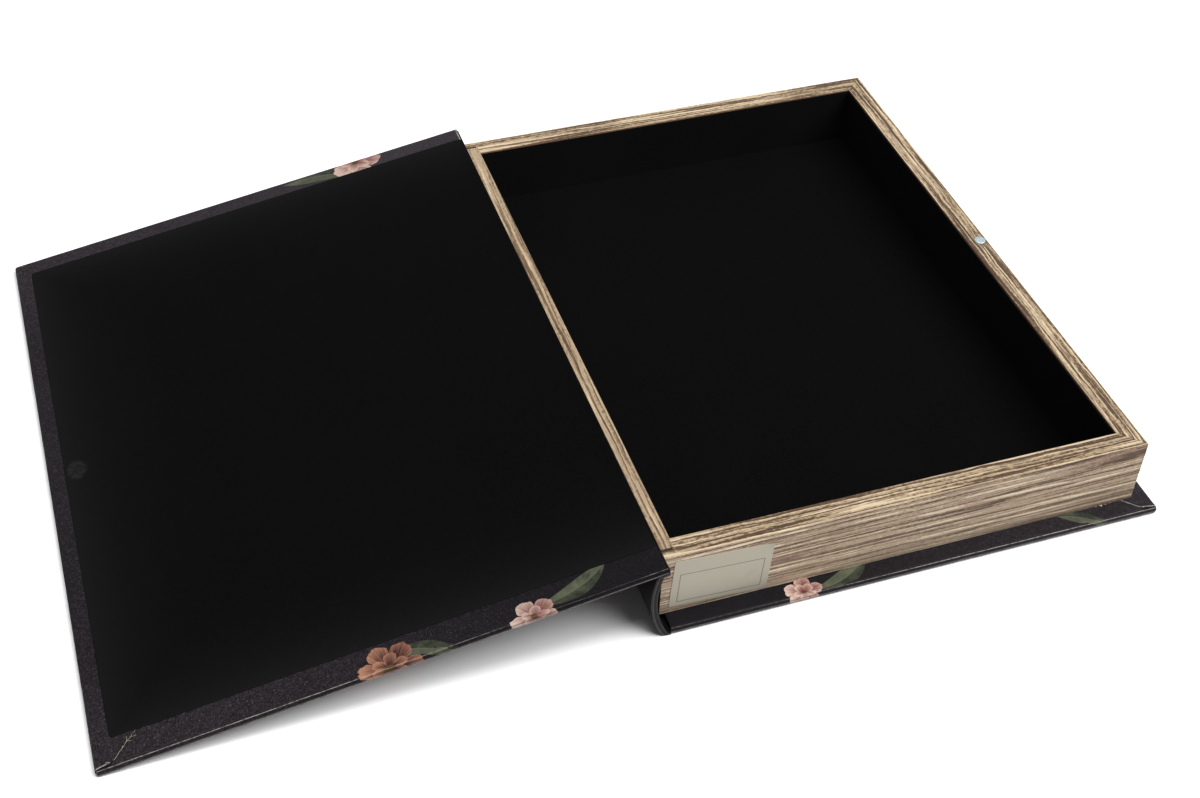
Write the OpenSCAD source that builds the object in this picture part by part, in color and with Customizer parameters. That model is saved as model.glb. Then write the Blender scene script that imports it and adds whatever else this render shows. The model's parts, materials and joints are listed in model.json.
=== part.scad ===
// Book-shaped keepsake box: a cloth-covered case of two boards and a curved spine,
// with a lined tray glued inside and a front cover that swings open like a book.
// Drawn lying open on a table: tray on the right, front cover resting on its fore edge on the left.
// Origin: centre of the underside of the back cover. +X to the fore edge, +Y to the head, +Z up.

/* [Tray] */
// Outside width of the tray, from the spine side to the fore edge
tray_w = 204; // [140:1:300]
// Outside length of the tray, from tail to head
tray_l = 272; // [180:1:400]
// Height of the tray above the back cover
tray_h = 31; // [24:1:60]
// Thickness of the tail, head and fore-edge walls
wall = 9; // [6:0.5:14]
// Thickness of the wall beside the spine
spine_wall = 5.5; // [3:0.5:12]
// Thickness of the tray's base panel
base = 2.5; // [1.5:0.5:5]
// Thickness of the printed page-edge paper
paper = 0.3; // [0.2:0.1:0.6]
// How far the head and tail papers run past the end of the spine-side paper
paper_lap = 4.8; // [2:0.2:5.8]
// Thickness of the black lining on the floor and walls
lining = 0.5; // [0.3:0.1:1]
// How far the wall linings stop below the rim
lining_drop = 0.6; // [0.4:0.1:2]

/* [Case] */
// Thickness of the back and front boards
board = 2.8; // [2:0.2:4]
// Thickness of the covering cloth
cloth = 0.3; // [0.2:0.05:0.5]
// Overhang of the case beyond the tray at tail, head and fore edge
square = 8; // [4:0.5:12]
// Width of the cloth folded over onto the inside of a board
turn_in = 16; // [13:0.5:24]
// Rounding of the covered edges of a board
edge_r = 1.2; // [0.6:0.1:1.5]

/* [Front lining] */
// Thickness of the black sheet inside the front cover
cover_lining = 0.35; // [0.2:0.05:0.5]
// Bare margin between that sheet and the fore edge of the cover
margin_fore = 7; // [4:0.5:12]
// Bare margin at the head
margin_head = 9; // [4:0.5:12]
// Bare margin at the tail
margin_tail = 12; // [4:0.5:12]
// Rounding of the sheet's corners
lining_corner = 1.5; // [0.5:0.5:4]

/* [Spine] */
// Thickness of the curved spine board
spine_board_t = 1.9; // [1.4:0.1:2.4]
// Thickness of the black liner inside the spine
spine_liner_t = 0.3; // [0.2:0.05:0.5]
// Inside radius of the spine's curve
spine_r = 42; // [38:1:120]
// Widest gap between the tray and the inside of the spine
spine_bulge = 4.1; // [3.6:0.1:8]
// How far the spine's crown sits above the middle of the closed case
spine_rise = 1.7; // [0:0.1:2.5]
// Gap from the tray's rim down to the top of the spine
spine_drop = 1.2; // [1:0.1:2]

/* [Hinge] */
// Gap from the tray's spine face to the hinge edge of the back board
back_joint = 2; // [1.6:0.1:5]
// Gap from the tray's spine face to the hinge edge of the front cover
front_joint = 0.2; // [0.1:0.1:0.6]
// Distance from the turning axis to the hinge edge of the front cover
axis_inset = 0.5; // [0.45:0.05:0.8]
// Clearance between the tray's rim and the lining when shut
shut_gap = 0.3; // [0.25:0.05:1]
// Clearance between the hinge cloth and the open cover above it
open_gap = 0.05; // [0.03:0.01:0.2]

/* [Magnets] */
// Diameter of the two magnets
magnet_d = 5; // [3:0.5:5.5]
// Depth of the magnet in the tray
tray_magnet_t = 3; // [2:0.5:5]
// Depth of the magnet in the front board
cover_magnet_t = 1.8; // [1:0.2:1.8]
// Distance from the tray's fore edge to the magnets' centres
magnet_inset = 3.2; // [3.2:0.1:3.8]

/* [Label] */
// Width of the blank label on the tail wall
label_w = 40; // [20:1:60]
// Height of the blank label
label_h = 25; // [12:1:25]
// Thickness of the label
label_t = 0.2; // [0.15:0.05:0.3]
// Distance from the tray's spine face to the label's centre
label_x = 24.1; // [24:0.5:60]
// Height of the label's centre above the back cover
label_z = 14.4; // [14.4:0.1:15.6]
// Turn of the label, clockwise
label_turn = 3.1; // [0:0.1:3.5]

/* [Hidden] */
$fn = 48;

// Covered board thickness and the case's outline
cover_t = board + 2 * cloth;
case_l = tray_l + 2 * square;
back_w = tray_w + square - back_joint;

// Tray faces
tray_x0 = -back_w / 2 - back_joint;
tray_x1 = tray_x0 + tray_w;
tray_y1 = tray_l / 2;
rim_z = cover_t + tray_h;
fore_x = tray_x1 + square;

// Inside faces of the bare walls, and the top of the floor lining
in_x0 = tray_x0 + paper + spine_wall;
in_x1 = tray_x1 - paper - wall;
in_y1 = tray_y1 - paper - wall;
floor_z = cover_t + base + lining;

// Front cover as it lies when shut
front_x0 = tray_x0 + front_joint;
front_w = fore_x - front_x0;
lining_z = rim_z + shut_gap;
inside_z = lining_z + cover_lining;
outside_z = inside_z + cover_t;

// Turning axis, parallel to Y, level with the middle of the front board
axis_x = front_x0 - axis_inset;
axis_z = inside_z + cover_t / 2;

// Angle below level at which the cover's rounded fore edge meets the table
reach_x = fore_x - edge_r - axis_x;
reach_z = cover_t / 2 - edge_r;
droop = asin((axis_z - edge_r) / norm([reach_x, reach_z])) - atan(reach_z / reach_x);
open_turn = 180 + droop;

// Spine arc, seen from the tail: centre, layers and end angles above or below level
spine_x = tray_x0 - spine_bulge + spine_r;
spine_z = outside_z / 2 + spine_rise;
board_r0 = spine_r + spine_liner_t;
board_r1 = board_r0 + spine_board_t;
spine_r1 = board_r1 + cloth;
foot_angle = asin((cloth - spine_z) / spine_r1);
top_angle = asin((rim_z - spine_drop - spine_z) / spine_r1);

// Magnet centre, when shut
magnet_x = tray_x1 - magnet_inset;

black_velvet = [0.04, 0.04, 0.045];
dark_cloth = [0.15, 0.13, 0.15];
grey_board = [0.55, 0.52, 0.47];
page_edges = [0.66, 0.57, 0.45];
fibreboard = [0.62, 0.5, 0.36];

// Points of an arc in the plane, from angle a0 to a1
function arc(centre, r, a0, a1, steps = 6) =
    [for (i = [0:steps]) centre + r * [cos(a0 + (a1 - a0) * i / steps), sin(a0 + (a1 - a0) * i / steps)]];

// A point on the spine's section at radius r and angle a above level
function spine_point(r, a) = [spine_x - r * cos(a), spine_z + r * sin(a)];

// A point fixed to the shut cover, carried to where it lies when open
function opened(p) =
    let (d = p - [axis_x, axis_z])
    [axis_x + d[0] * cos(open_turn) - d[1] * sin(open_turn),
     axis_z + d[0] * sin(open_turn) + d[1] * cos(open_turn)];

// Points of a quadratic curve from a to c, drawn towards b
function curve(a, b, c, steps = 8) =
    [for (i = [0:steps]) let (t = i / steps) a * (1 - t) * (1 - t) + b * 2 * t * (1 - t) + c * t * t];

// Unit normal to the left of the path at point i
function left_of(path, i) =
    let (a = path[max(i - 1, 0)], b = path[min(i + 1, len(path) - 1)], d = (b - a) / norm(b - a))
    [-d[1], d[0]];

// The path moved to its left by t
function beside(path, t) = [for (i = [0:len(path) - 1]) path[i] + t * left_of(path, i)];

// Upper face of the hinge cloth: under the open cover from its hinge edge, then down to the spine's outer edge
function hinge_line() =
    let (top = spine_point(spine_r1, top_angle))
    concat([opened([front_x0, outside_z + open_gap])],
           curve(opened([front_x0 + 4 * cloth, outside_z + open_gap]), top + [3 * cloth, 2 * cloth], top));

// A section drawn in X and Z, run along Y about the middle
module along_y(length) {
    rotate([90, 0, 0]) linear_extrude(length, center = true) children();
}

// A box between two corners
module block(low, high) {
    translate(low) cube(high - low);
}

// A plan outline raised between two heights
module raised(z0, z1) {
    translate([0, 0, z0]) linear_extrude(z1 - z0) children();
}

// A slab of thickness t on z = 0, its hinge edge square at x = 0 and its other edges rounded by r
module round_slab(w, l, t, r) {
    side = concat([[0, 0]], arc([w - r, r], r, -90, 0), arc([w - r, t - r], r, 0, 90), [[0, t]]);
    end = concat(arc([-l / 2 + r, r], r, 180, 270), arc([l / 2 - r, r], r, 270, 360),
                 arc([l / 2 - r, t - r], r, 0, 90), arc([-l / 2 + r, t - r], r, 90, 180));
    intersection() {
        along_y(l) polygon(side);
        rotate([90, 0, 90]) linear_extrude(w) polygon(end);
    }
}

// The board itself, with the cloth's thickness left all round it
module bare_board(w, l) {
    translate([cloth, 0, cloth]) round_slab(w - 2 * cloth, l - 2 * cloth, board, edge_r - cloth);
}

// Cloth round a board: outside sheet, edges and turn-ins, open in the middle of the inside
module cloth_wrap(w, l) {
    difference() {
        round_slab(w, l, cover_t, edge_r);
        bare_board(w, l);
        block([cloth, -l / 2 + turn_in, cover_t / 2], [w - turn_in, l / 2 - turn_in, cover_t + 1]);
    }
}

// Puts a covered board's parts where the front cover lies when shut, inside face down
module as_front() {
    translate([front_x0, 0, outside_z]) mirror([0, 0, 1]) children();
}

// Swings the shut front cover to where it lies open on the table
module swung_open() {
    translate([axis_x, 0, axis_z]) rotate([0, -open_turn, 0]) translate([-axis_x, 0, -axis_z]) children();
}

// Part of the spine's section between two radii and two angles
module spine_ring(r0, r1, a0 = foot_angle, a1 = top_angle) {
    far = 1.5 * r1;
    translate([spine_x, spine_z]) intersection() {
        difference() {
            circle(r1, $fn = 180);
            circle(r0, $fn = 180);
        }
        polygon([[0, 0], [-far * cos(a0), far * sin(a0)], [-far * cos(a1), far * sin(a1)]]);
    }
}

// Plan outline of a sheet or wall along the tail, mitred at the fore edge
module tail_plan(outer, inner, x0 = tray_x0) {
    polygon([[x0, -tray_y1 + outer], [tray_x1 - outer, -tray_y1 + outer],
             [tray_x1 - inner, -tray_y1 + inner], [x0, -tray_y1 + inner]]);
}

// Plan outline of a sheet or wall along the fore edge, mitred at both ends
module fore_plan(outer, inner) {
    polygon([[tray_x1 - outer, -tray_y1 + outer], [tray_x1 - outer, tray_y1 - outer],
             [tray_x1 - inner, tray_y1 - inner], [tray_x1 - inner, -tray_y1 + inner]]);
}

// Paper on the tail wall: outside sheet and the flap over the rim, cut back for the spine-side paper
module end_paper() {
    union() {
        raised(cover_t, rim_z) tail_plan(0, paper);
        difference() {
            raised(rim_z - paper, rim_z) tail_plan(0, paper + wall);
            block([tray_x0 - 1, -tray_y1 + paper_lap, rim_z - 1], [in_x0, -in_y1 + 1, rim_z + 1]);
        }
    }
}

// Lining of the tail wall
module end_lining() {
    block([in_x0, -in_y1, floor_z], [in_x1, -in_y1 + lining, rim_z - lining_drop]);
}

// Lining of a long wall, starting at x
module side_lining(x) {
    block([x, -in_y1 + lining, floor_z], [x + lining, in_y1 - lining, rim_z - lining_drop]);
}

module magnet(depth) {
    color("silver") cylinder(d = magnet_d, h = depth);
}

module back_board() {
    color(grey_board) translate([-back_w / 2, 0, 0]) bare_board(back_w, case_l);
}

module back_cloth() {
    color(dark_cloth) translate([-back_w / 2, 0, 0]) cloth_wrap(back_w, case_l);
}

// Cloth on the table between the spine and the back board, with a heel against the end of the spine
module back_joint_cloth() {
    heel = spine_point(spine_r1, foot_angle);
    inner = spine_point(spine_r1 - 2 * cloth, foot_angle);
    color(dark_cloth) along_y(case_l)
        polygon([heel, [heel[0] + cloth, 0], [-back_w / 2, 0], [-back_w / 2, cloth], [inner[0] + cloth, cloth], inner]);
}

module spine_board() {
    color(grey_board) along_y(case_l - 2 * cloth) spine_ring(board_r0, board_r1);
}

// Cloth on the outside of the spine, round its two ends and a turn-in's width back inside
module spine_cloth() {
    color(dark_cloth) difference() {
        along_y(case_l) spine_ring(spine_r, spine_r1);
        along_y(case_l - 2 * cloth) spine_ring(board_r0, board_r1, foot_angle - 5, top_angle + 5);
        along_y(case_l - 2 * turn_in) spine_ring(spine_r - 1, board_r0 + cloth, foot_angle - 5, top_angle + 5);
    }
}

// Black liner inside the spine, with a foot that reaches the back board
module spine_liner() {
    length = case_l - 2 * turn_in;
    sixth = spine_liner_t / 6;
    low = spine_point(board_r0 - sixth, foot_angle + 1);
    high = spine_point(spine_r + sixth, foot_angle + 1);
    edge_z = cover_t / 2 - spine_liner_t;
    color(black_velvet) union() {
        along_y(length) spine_ring(spine_r, board_r0);
        along_y(length) polygon([low, high, [-back_w / 2, edge_z + spine_liner_t], [-back_w / 2, edge_z]]);
    }
}

module tray_base() {
    color(fibreboard) block([in_x0, -in_y1, cover_t], [in_x1, in_y1, cover_t + base]);
}

module tail_wall() {
    color(fibreboard) raised(cover_t, rim_z - paper) tail_plan(paper, paper + wall, tray_x0 + paper);
}

module head_wall() {
    mirror([0, 1, 0]) tail_wall();
}

module fore_edge_wall() {
    color(fibreboard) difference() {
        raised(cover_t, rim_z - paper) fore_plan(paper, paper + wall);
        translate([magnet_x, 0, rim_z - tray_magnet_t]) cylinder(d = magnet_d, h = tray_magnet_t + 1);
    }
}

module spine_side_wall() {
    color(fibreboard) block([tray_x0 + paper, -in_y1, cover_t], [in_x0, in_y1, rim_z - paper]);
}

module tail_paper() {
    color(page_edges) end_paper();
}

module head_paper() {
    color(page_edges) mirror([0, 1, 0]) end_paper();
}

module fore_edge_paper() {
    color(page_edges) difference() {
        union() {
            raised(cover_t, rim_z) fore_plan(0, paper);
            raised(rim_z - paper, rim_z) fore_plan(0, paper + wall);
        }
        translate([magnet_x, 0, rim_z - 1]) cylinder(d = magnet_d, h = 2);
    }
}

module spine_side_paper() {
    end_y = tray_y1 - paper_lap;
    color(page_edges) union() {
        block([tray_x0, -end_y, cover_t], [tray_x0 + paper, end_y, rim_z]);
        block([tray_x0, -end_y, rim_z - paper], [in_x0, end_y, rim_z]);
    }
}

module floor_lining() {
    color(black_velvet) block([in_x0, -in_y1, cover_t + base], [in_x1, in_y1, floor_z]);
}

module tail_lining() {
    color(black_velvet) end_lining();
}

module head_lining() {
    color(black_velvet) mirror([0, 1, 0]) end_lining();
}

module fore_edge_lining() {
    color(black_velvet) side_lining(in_x1 - lining);
}

module spine_side_lining() {
    color(black_velvet) side_lining(in_x0);
}

module tray_magnet() {
    translate([magnet_x, 0, rim_z - tray_magnet_t]) magnet(tray_magnet_t);
}

module label() {
    color([0.78, 0.76, 0.7])
        translate([tray_x0 + label_x, -tray_y1, cover_t + label_z]) rotate([0, label_turn, 0])
            block([-label_w / 2, -label_t, -label_h / 2], [label_w / 2, 0, label_h / 2]);
}

// Front board with the magnet's pocket in its inside face
module front_board() {
    color(grey_board) swung_open() difference() {
        as_front() bare_board(front_w, case_l);
        translate([magnet_x, 0, inside_z + cloth - 1]) cylinder(d = magnet_d, h = cover_magnet_t + 1);
    }
}

module front_cloth() {
    color(dark_cloth) swung_open() as_front() cloth_wrap(front_w, case_l);
}

// Black sheet inside the front cover: level over the turn-ins, down to the board between them,
// and folded over the hinge edge
module front_lining() {
    x1 = fore_x - margin_fore;
    y0 = -case_l / 2 + margin_tail;
    y1 = case_l / 2 - margin_head;
    r = lining_corner;
    color(black_velvet) swung_open() union() {
        raised(lining_z, inside_z)
            polygon(concat([[front_x0, y0]], arc([x1 - r, y0 + r], r, -90, 0), arc([x1 - r, y1 - r], r, 0, 90),
                           [[front_x0, y1]]));
        block([front_x0 + cloth, -case_l / 2 + turn_in, lining_z],
              [fore_x - turn_in, case_l / 2 - turn_in, inside_z + cloth]);
        block([front_x0 - cover_lining, y0, lining_z], [front_x0, y1, outside_z - cloth]);
    }
}

module cover_magnet() {
    swung_open() translate([magnet_x, 0, inside_z + cloth]) magnet(cover_magnet_t);
}

// Outside cloth of the front hinge, its lower edge seated on the end of the spine
module hinge_cloth() {
    line = hinge_line();
    low = beside(line, cloth);
    seat = spine_point(spine_r1 - 3 * cloth, top_angle);
    color(dark_cloth) along_y(case_l) polygon(concat(line, [seat], [for (i = [len(line) - 3:-1:0]) low[i]]));
}

// Black liner of the front hinge: under the hinge cloth, then down to the end of the spine's liner
module hinge_liner() {
    low = beside(hinge_line(), cloth);
    end = spine_point(board_r0, top_angle);
    bend = end + 5 * cloth * [sin(top_angle), cos(top_angle)];
    line = concat([(low[0] + low[1]) / 2], curve(low[1], bend, end));
    back = beside(line, spine_liner_t);
    seat = spine_point(spine_r, top_angle);
    color(black_velvet) along_y(case_l - margin_tail - margin_head)
        polygon(concat(line, [seat], [for (i = [len(line) - 2:-1:0]) back[i]]));
}

back_board();
back_cloth();
back_joint_cloth();
spine_board();
spine_cloth();
spine_liner();
tray_base();
tail_wall();
head_wall();
fore_edge_wall();
spine_side_wall();
tail_paper();
head_paper();
fore_edge_paper();
spine_side_paper();
floor_lining();
tail_lining();
head_lining();
fore_edge_lining();
spine_side_lining();
tray_magnet();
label();
front_board();
front_cloth();
front_lining();
cover_magnet();
hinge_cloth();
hinge_liner();
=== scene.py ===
import json
import math
import random

import bmesh
import bpy
from mathutils import Matrix, Vector, noise


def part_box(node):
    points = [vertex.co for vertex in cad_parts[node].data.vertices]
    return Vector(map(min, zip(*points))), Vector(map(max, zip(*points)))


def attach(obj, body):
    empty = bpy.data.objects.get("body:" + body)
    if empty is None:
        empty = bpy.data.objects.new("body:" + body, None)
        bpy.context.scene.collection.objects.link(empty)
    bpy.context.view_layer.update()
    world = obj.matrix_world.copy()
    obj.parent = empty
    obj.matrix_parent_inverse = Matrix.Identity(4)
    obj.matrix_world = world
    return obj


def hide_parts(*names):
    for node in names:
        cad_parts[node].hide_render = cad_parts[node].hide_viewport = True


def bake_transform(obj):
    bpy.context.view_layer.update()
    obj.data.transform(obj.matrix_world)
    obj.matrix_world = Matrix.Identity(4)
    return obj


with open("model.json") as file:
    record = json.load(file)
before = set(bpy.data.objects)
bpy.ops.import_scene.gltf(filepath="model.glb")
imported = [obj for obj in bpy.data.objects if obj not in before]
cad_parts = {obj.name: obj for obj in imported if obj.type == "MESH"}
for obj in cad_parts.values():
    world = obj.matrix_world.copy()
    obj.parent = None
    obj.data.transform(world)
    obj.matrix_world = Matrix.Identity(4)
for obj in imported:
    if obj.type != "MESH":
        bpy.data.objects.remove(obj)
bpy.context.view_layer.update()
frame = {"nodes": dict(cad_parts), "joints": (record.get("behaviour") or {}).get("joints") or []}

# Lengths in the dictionaries are millimetres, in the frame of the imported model
mm = 0.001
metre = 1000            # in millimetres, to read a place in a material in them
hinge = frame["joints"][0]
pivot = Vector(hinge["pos_m"]) / mm
shutAngle = math.radians(hinge["range_deg"][1])
print("frame loaded, cover opens by", round(hinge["range_deg"][1], 2), "degrees")


def edges(node):
    low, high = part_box(node)
    return low / mm, high / mm


tailLow, tailHigh = edges("tail_paper")
spineLow, spineHigh = edges("spine_side_paper")
tray = {
    "x0": spineLow.x, "x1": edges("fore_edge_paper")[1].x, "halfLength": -tailLow.y, "foot": tailLow.z,
    "rim": tailHigh.z, "wall": tailHigh.y - tailLow.y, "spineWall": spineHigh.x - spineLow.x,
}
halfTray = tray["halfLength"]
caseHalf, coverThick = edges("back_cloth")[1].yz
shutFace = 38.45        # height of the front cover's outer face when shut
hingeEdge = -106.8      # the front cover's hinge edge when shut
frontWidth = 211.8
clothThick = 0.3
turnIn = 16             # width of the cloth folded in over the boards


# Small helpers

def colour(red, green, blue):
    # screen values 0-255 to the linear ones that the shaders take
    def flat(level):
        level = level / 255
        return level / 12.92 if level < 0.04045 else ((level + 0.055) / 1.055) ** 2.4
    return (flat(red), flat(green), flat(blue), 1)


def ease(value):
    value = min(max(value, 0), 1)
    return value * value * (3 - 2 * value)


def rough(x, y, size, seed=0.0):
    # smooth noise from -1 to 1 with features about size mm across
    return noise.noise(Vector((x / size, y / size, seed)))


def rounded(x, y, low, high, corner):
    # a sheet's point, drawn in where it lies past a round corner, and its distance from the sheet's edge
    cx = min(max(x, low[0] + corner), high[0] - corner)
    cy = min(max(y, low[1] + corner), high[1] - corner)
    away = math.hypot(x - cx, y - cy)
    if away == 0:
        return x, y, min(x - low[0], high[0] - x, y - low[1], high[1] - y)
    draw = min(1, corner / away)
    return cx + (x - cx) * draw, cy + (y - cy) * draw, corner - away * draw


def bands(count, rings, start=0):
    # faces between closed rings of count points each, numbered one ring after the other
    return [(a + i, a + (i + 1) % count, a + count + (i + 1) % count, a + count + i)
            for a in range(start, start + (rings - 1) * count, count) for i in range(count)]


def tube(count, rings, start=0):
    # the same with a face over each end
    last = start + (rings - 1) * count
    return bands(count, rings, start) + [list(range(a, a + count)) for a in (start, last)]


def grid(rows, wide, start=0):
    return [(a, a + wide, a + wide + 1, a + 1) for row in range(rows - 1)
            for a in range(start + row * wide, start + row * wide + wide - 1)]


def slab(rows, wide):
    # a thin sheet: a grid of points, the same again under it, and the wall round them
    count = rows * wide
    rim = [i * wide for i in range(rows)] + [count - wide + i for i in range(1, wide)]
    rim += [i * wide + wide - 1 for i in range(rows - 2, -1, -1)] + list(range(wide - 2, 0, -1))
    walls = [(a, b, b + count, a + count) for a, b in zip(rim, rim[1:] + rim[:1])]
    return grid(rows, wide) + grid(rows, wide, count) + walls


def putInScene(name, data):
    # an object for a mesh, lamp or camera
    holder = bpy.data.objects.new(name, data)
    bpy.context.scene.collection.objects.link(holder)
    return holder


def makePiece(name, points, faces, sheet=None, wearAndPaintedLight=None, sharpAbove=38):
    # sheet: a place on the unfolded cloth or paper for each point, or for each corner of each face
    mesh = bpy.data.meshes.new(name)
    mesh.from_pydata([Vector(point) * mm for point in points], [], faces)
    if sheet:
        if len(sheet) == len(points):
            sheet = [sheet[corner] for face in faces for corner in face]
        layer = mesh.uv_layers.new(name="sheet")
        layer.data.foreach_set("uv", [number * mm for place in sheet for number in place])
    # the mark holds real wear and painted highlight, sheen and shade
    if wearAndPaintedLight:
        mark = mesh.attributes.new("wearAndPaintedLight", "FLOAT", "POINT")
        mark.data.foreach_set("value", wearAndPaintedLight)
    shape = bmesh.new()
    shape.from_mesh(mesh)
    bmesh.ops.remove_doubles(shape, verts=shape.verts, dist=2e-6)
    bmesh.ops.dissolve_degenerate(shape, edges=shape.edges, dist=1e-6)
    bmesh.ops.recalc_face_normals(shape, faces=shape.faces)
    for edge in shape.edges:
        edge.smooth = len(edge.link_faces) == 2 and edge.calc_face_angle(0) < math.radians(sharpAbove)
    for face in shape.faces:
        face.smooth = True
    shape.to_mesh(mesh)
    shape.free()
    return putInScene(name, mesh)


def finishPiece(piece, material, body, slot, *nodes):
    if body == "front_cover":
        # it was made on the shut cover, so it turns back to where the open cover lies
        centre = pivot * mm
        turn = Matrix.Rotation(-shutAngle, 4, "Y")
        piece.data.transform(Matrix.Translation(centre) @ turn @ Matrix.Translation(-centre))
    piece.data.materials.append(material)
    if body:
        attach(piece, body)
    if nodes:
        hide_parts(*nodes)
    print("made", piece.name, len(piece.data.polygons), "faces")
    return piece


# Materials

class Wire:
    # an output of a node, so that a sum in a material reads as a sum
    def __init__(self, paint, socket):
        self.paint = paint
        self.socket = socket

    def other(self, output):
        # another output of the same node
        return Wire(self.paint, self.socket.node.outputs[output])

    def math(self, operation, second=0.0):
        return self.paint.math(operation, self, second)

    def __add__(self, second):
        return self.math("ADD", second)

    def __sub__(self, second):
        return self.math("SUBTRACT", second)

    def __rsub__(self, first):
        return self.paint.math("SUBTRACT", first, self)

    def __mul__(self, second):
        return self.math("MULTIPLY", second)

    def __truediv__(self, second):
        return self.math("DIVIDE", second)

    def __pow__(self, second):
        return self.math("POWER", second)

    def __abs__(self):
        return self.math("ABSOLUTE")

    def larger(self, second):
        return self.math("MAXIMUM", second)

    def held(self):
        # the same sum, kept between 0 and 1
        self.socket.node.use_clamp = True
        return self

    def steps(self, low, high, outLow=0.0, outHigh=1.0):
        feeds = {"Value": self, "From Min": low, "From Max": high, "To Min": outLow, "To Max": outHigh}
        return self.paint.node("MapRange", feeds, interpolation_type="SMOOTHSTEP")

    def noise(self, scale, detail=2.0, roughness=0.5, output="Fac"):
        feeds = {"Vector": self, "Scale": scale, "Detail": detail, "Roughness": roughness}
        return self.paint.node("TexNoise", feeds, output)

    def stretch(self, sizes, offset=(0, 0, 0)):
        return self.paint.node("Mapping", {"Vector": self, "Scale": sizes, "Location": offset})

    def split(self):
        x = self.paint.node("SeparateXYZ", {0: self})
        return x, x.other(1), x.other(2)

    def ramp(self, stops):
        tinted = self.paint.node("ValToRGB", {0: self})
        marks = tinted.socket.node.color_ramp.elements
        while len(marks) < len(stops):
            marks.new(0.5)
        for mark, (place, tint) in zip(marks, stops):
            mark.position = place
            mark.color = tint
        return tinted


class Paint:
    # short calls for building the nodes of a material, a world, or a group that materials share
    def __init__(self, owner):
        self.owner = self.tree = owner
        if not isinstance(owner, bpy.types.NodeTree):
            owner.use_nodes = True
            self.tree = owner.node_tree

    def feed(self, socket, value):
        if isinstance(value, Wire):
            self.tree.links.new(value.socket, socket)
        else:
            socket.default_value = value

    def node(self, kind, feeds, output=0, **settings):
        made = self.tree.nodes.new("ShaderNode" + kind)
        for key, value in settings.items():
            setattr(made, key, value)
        for key, value in feeds.items():
            self.feed(made.inputs[key], value)
        return Wire(self, made.outputs[output])

    def math(self, operation, first, second=0.0):
        return self.node("Math", {0: first, 1: second}, operation=operation)

    def gap(self, here, there):
        return self.node("VectorMath", {0: here, 1: there}, operation="SUBTRACT")

    def blend(self, amount, first, second):
        return self.node("Mix", {"Factor": amount, 6: first, 7: second}, 2, data_type="RGBA")

    def over(self, base, *layers):
        # each layer is how much of it shows, and its colour
        for amount, tint in layers:
            base = self.blend(amount, base, tint)
        return base

    def sheet(self):
        return self.node("UVMap", {}, uv_map="sheet")

    def wearAndPaintedLight(self):
        return self.node("Attribute", {}, "Fac", attribute_name="wearAndPaintedLight")

    def solid(self):
        return self.node("TexCoord", {}, "Object")

    def finish(self, base, roughness, bump, specular=0.5, metallic=0.0):
        # bump is its height, strength and distance
        height, strength, distance = bump
        normal = self.node("Bump", {"Strength": strength, "Distance": distance, "Height": height})
        feeds = {"Base Color": base, "Roughness": roughness, "Specular IOR Level": specular,
                 "Metallic": metallic, "Normal": normal}
        for key, value in feeds.items():
            self.feed(self.tree.nodes["Principled BSDF"].inputs[key], value)
        return self.owner


def newPaint(name):
    return Paint(bpy.data.materials.new(name))


# Flowers on the covering cloth: motifs strewn on a dark ground, and a few that run over the edges.
# On the unfolded sheet u is 0 at the front hinge, below 0 on the front cover, over 0 on spine and back;
# v is 0 midway from tail to head
printDesign = {
    # painted light: the ground is darkest over the spine and lighter towards the fore edges and the head and
    # tail turn-ins
    "ground": colour(14, 13, 16),
    "groundPaintedLight": colour(28, 25, 28),
    "groundFade": (30, 235),
    # the cloth turned in along the head catches more light, most of all by the hinge
    "headTurnIn": colour(46, 42, 46),
    "rosePale": colour(212, 184, 170),
    "roseDeep": colour(124, 74, 70),
    "amberPale": colour(182, 130, 104),
    "amberDeep": colour(58, 26, 24),
    "leafPale": colour(118, 122, 98),
    "leafDeep": colour(40, 46, 36),
    "heart": colour(82, 66, 34),
    # u in the middle and half width of each field that is strewn, and its half length
    "fields": [(-96, 82), (28, 14), (162, 76)],
    "reach": 108,
    # mm from one to the next, size, petals, share of the places taken, and shift in metres
    "big": {"every": 84, "size": 30, "petals": 7, "share": 0.8, "shift": (0.013, 0.027, 0)},
    "small": {"every": 37, "size": 12, "petals": 5, "share": 0.3, "shift": (0.031, 0.002, 0)},
    "leaf": {"every": 33, "size": 17, "petals": 1, "share": 0.4, "shift": (0.004, 0.009, 0)},
    # stems: scale of their web, how far noise bends it, and how far from the middle they end (m)
    "stemScale": 9, "stemBend": 0.03, "stemReach": (0.118, 0.132),
    # kind, u, v, size, petals, turn, 0 for rose or 1 for amber
    "edgeMotifs": [
        ("leaf", -88, -149, 15, 0, 2.6, 0), ("blossom", -105, -147, 12, 6, 0.9, 1),
        ("leaf", -34, -153, 16, 0, 0.3, 0), ("blossom", -51, -147, 9, 5, 2.0, 0),
        ("leaf", -68, 151, 17, 0, 2.9, 0), ("blossom", -50, 149, 12, 5, 1.1, 0),
        ("leaf", 128, -151, 16, 0, 0.35, 0), ("blossom", 111, -149, 8, 5, 1.4, 0),
        ("leaf", 236, -150, 13, 0, 2.5, 0), ("blossom", 214, 148, 13, 6, 0.5, 0)],
}


def motifGroup(name):
    # takes the place on the sheet, the gap from the motif's middle, and its size, petals, turn and tint
    paint = Paint(bpy.data.node_groups.new(name, "ShaderNodeTree"))
    given = dict.fromkeys(["place", "gap", "size", "petals", "turn", "tint"], "Float")
    given.update(place="Vector", gap="Vector")
    for way, sockets in (("INPUT", given), ("OUTPUT", {"mask": "Float", "colour": "Color"})):
        for label, kind in sockets.items():
            paint.tree.interface.new_socket(label, in_out=way, socket_type="NodeSocket" + kind)
    inside = paint.tree.nodes.new("NodeGroupInput").outputs
    return paint, {label: Wire(paint, inside[label]) for label in given}


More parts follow.
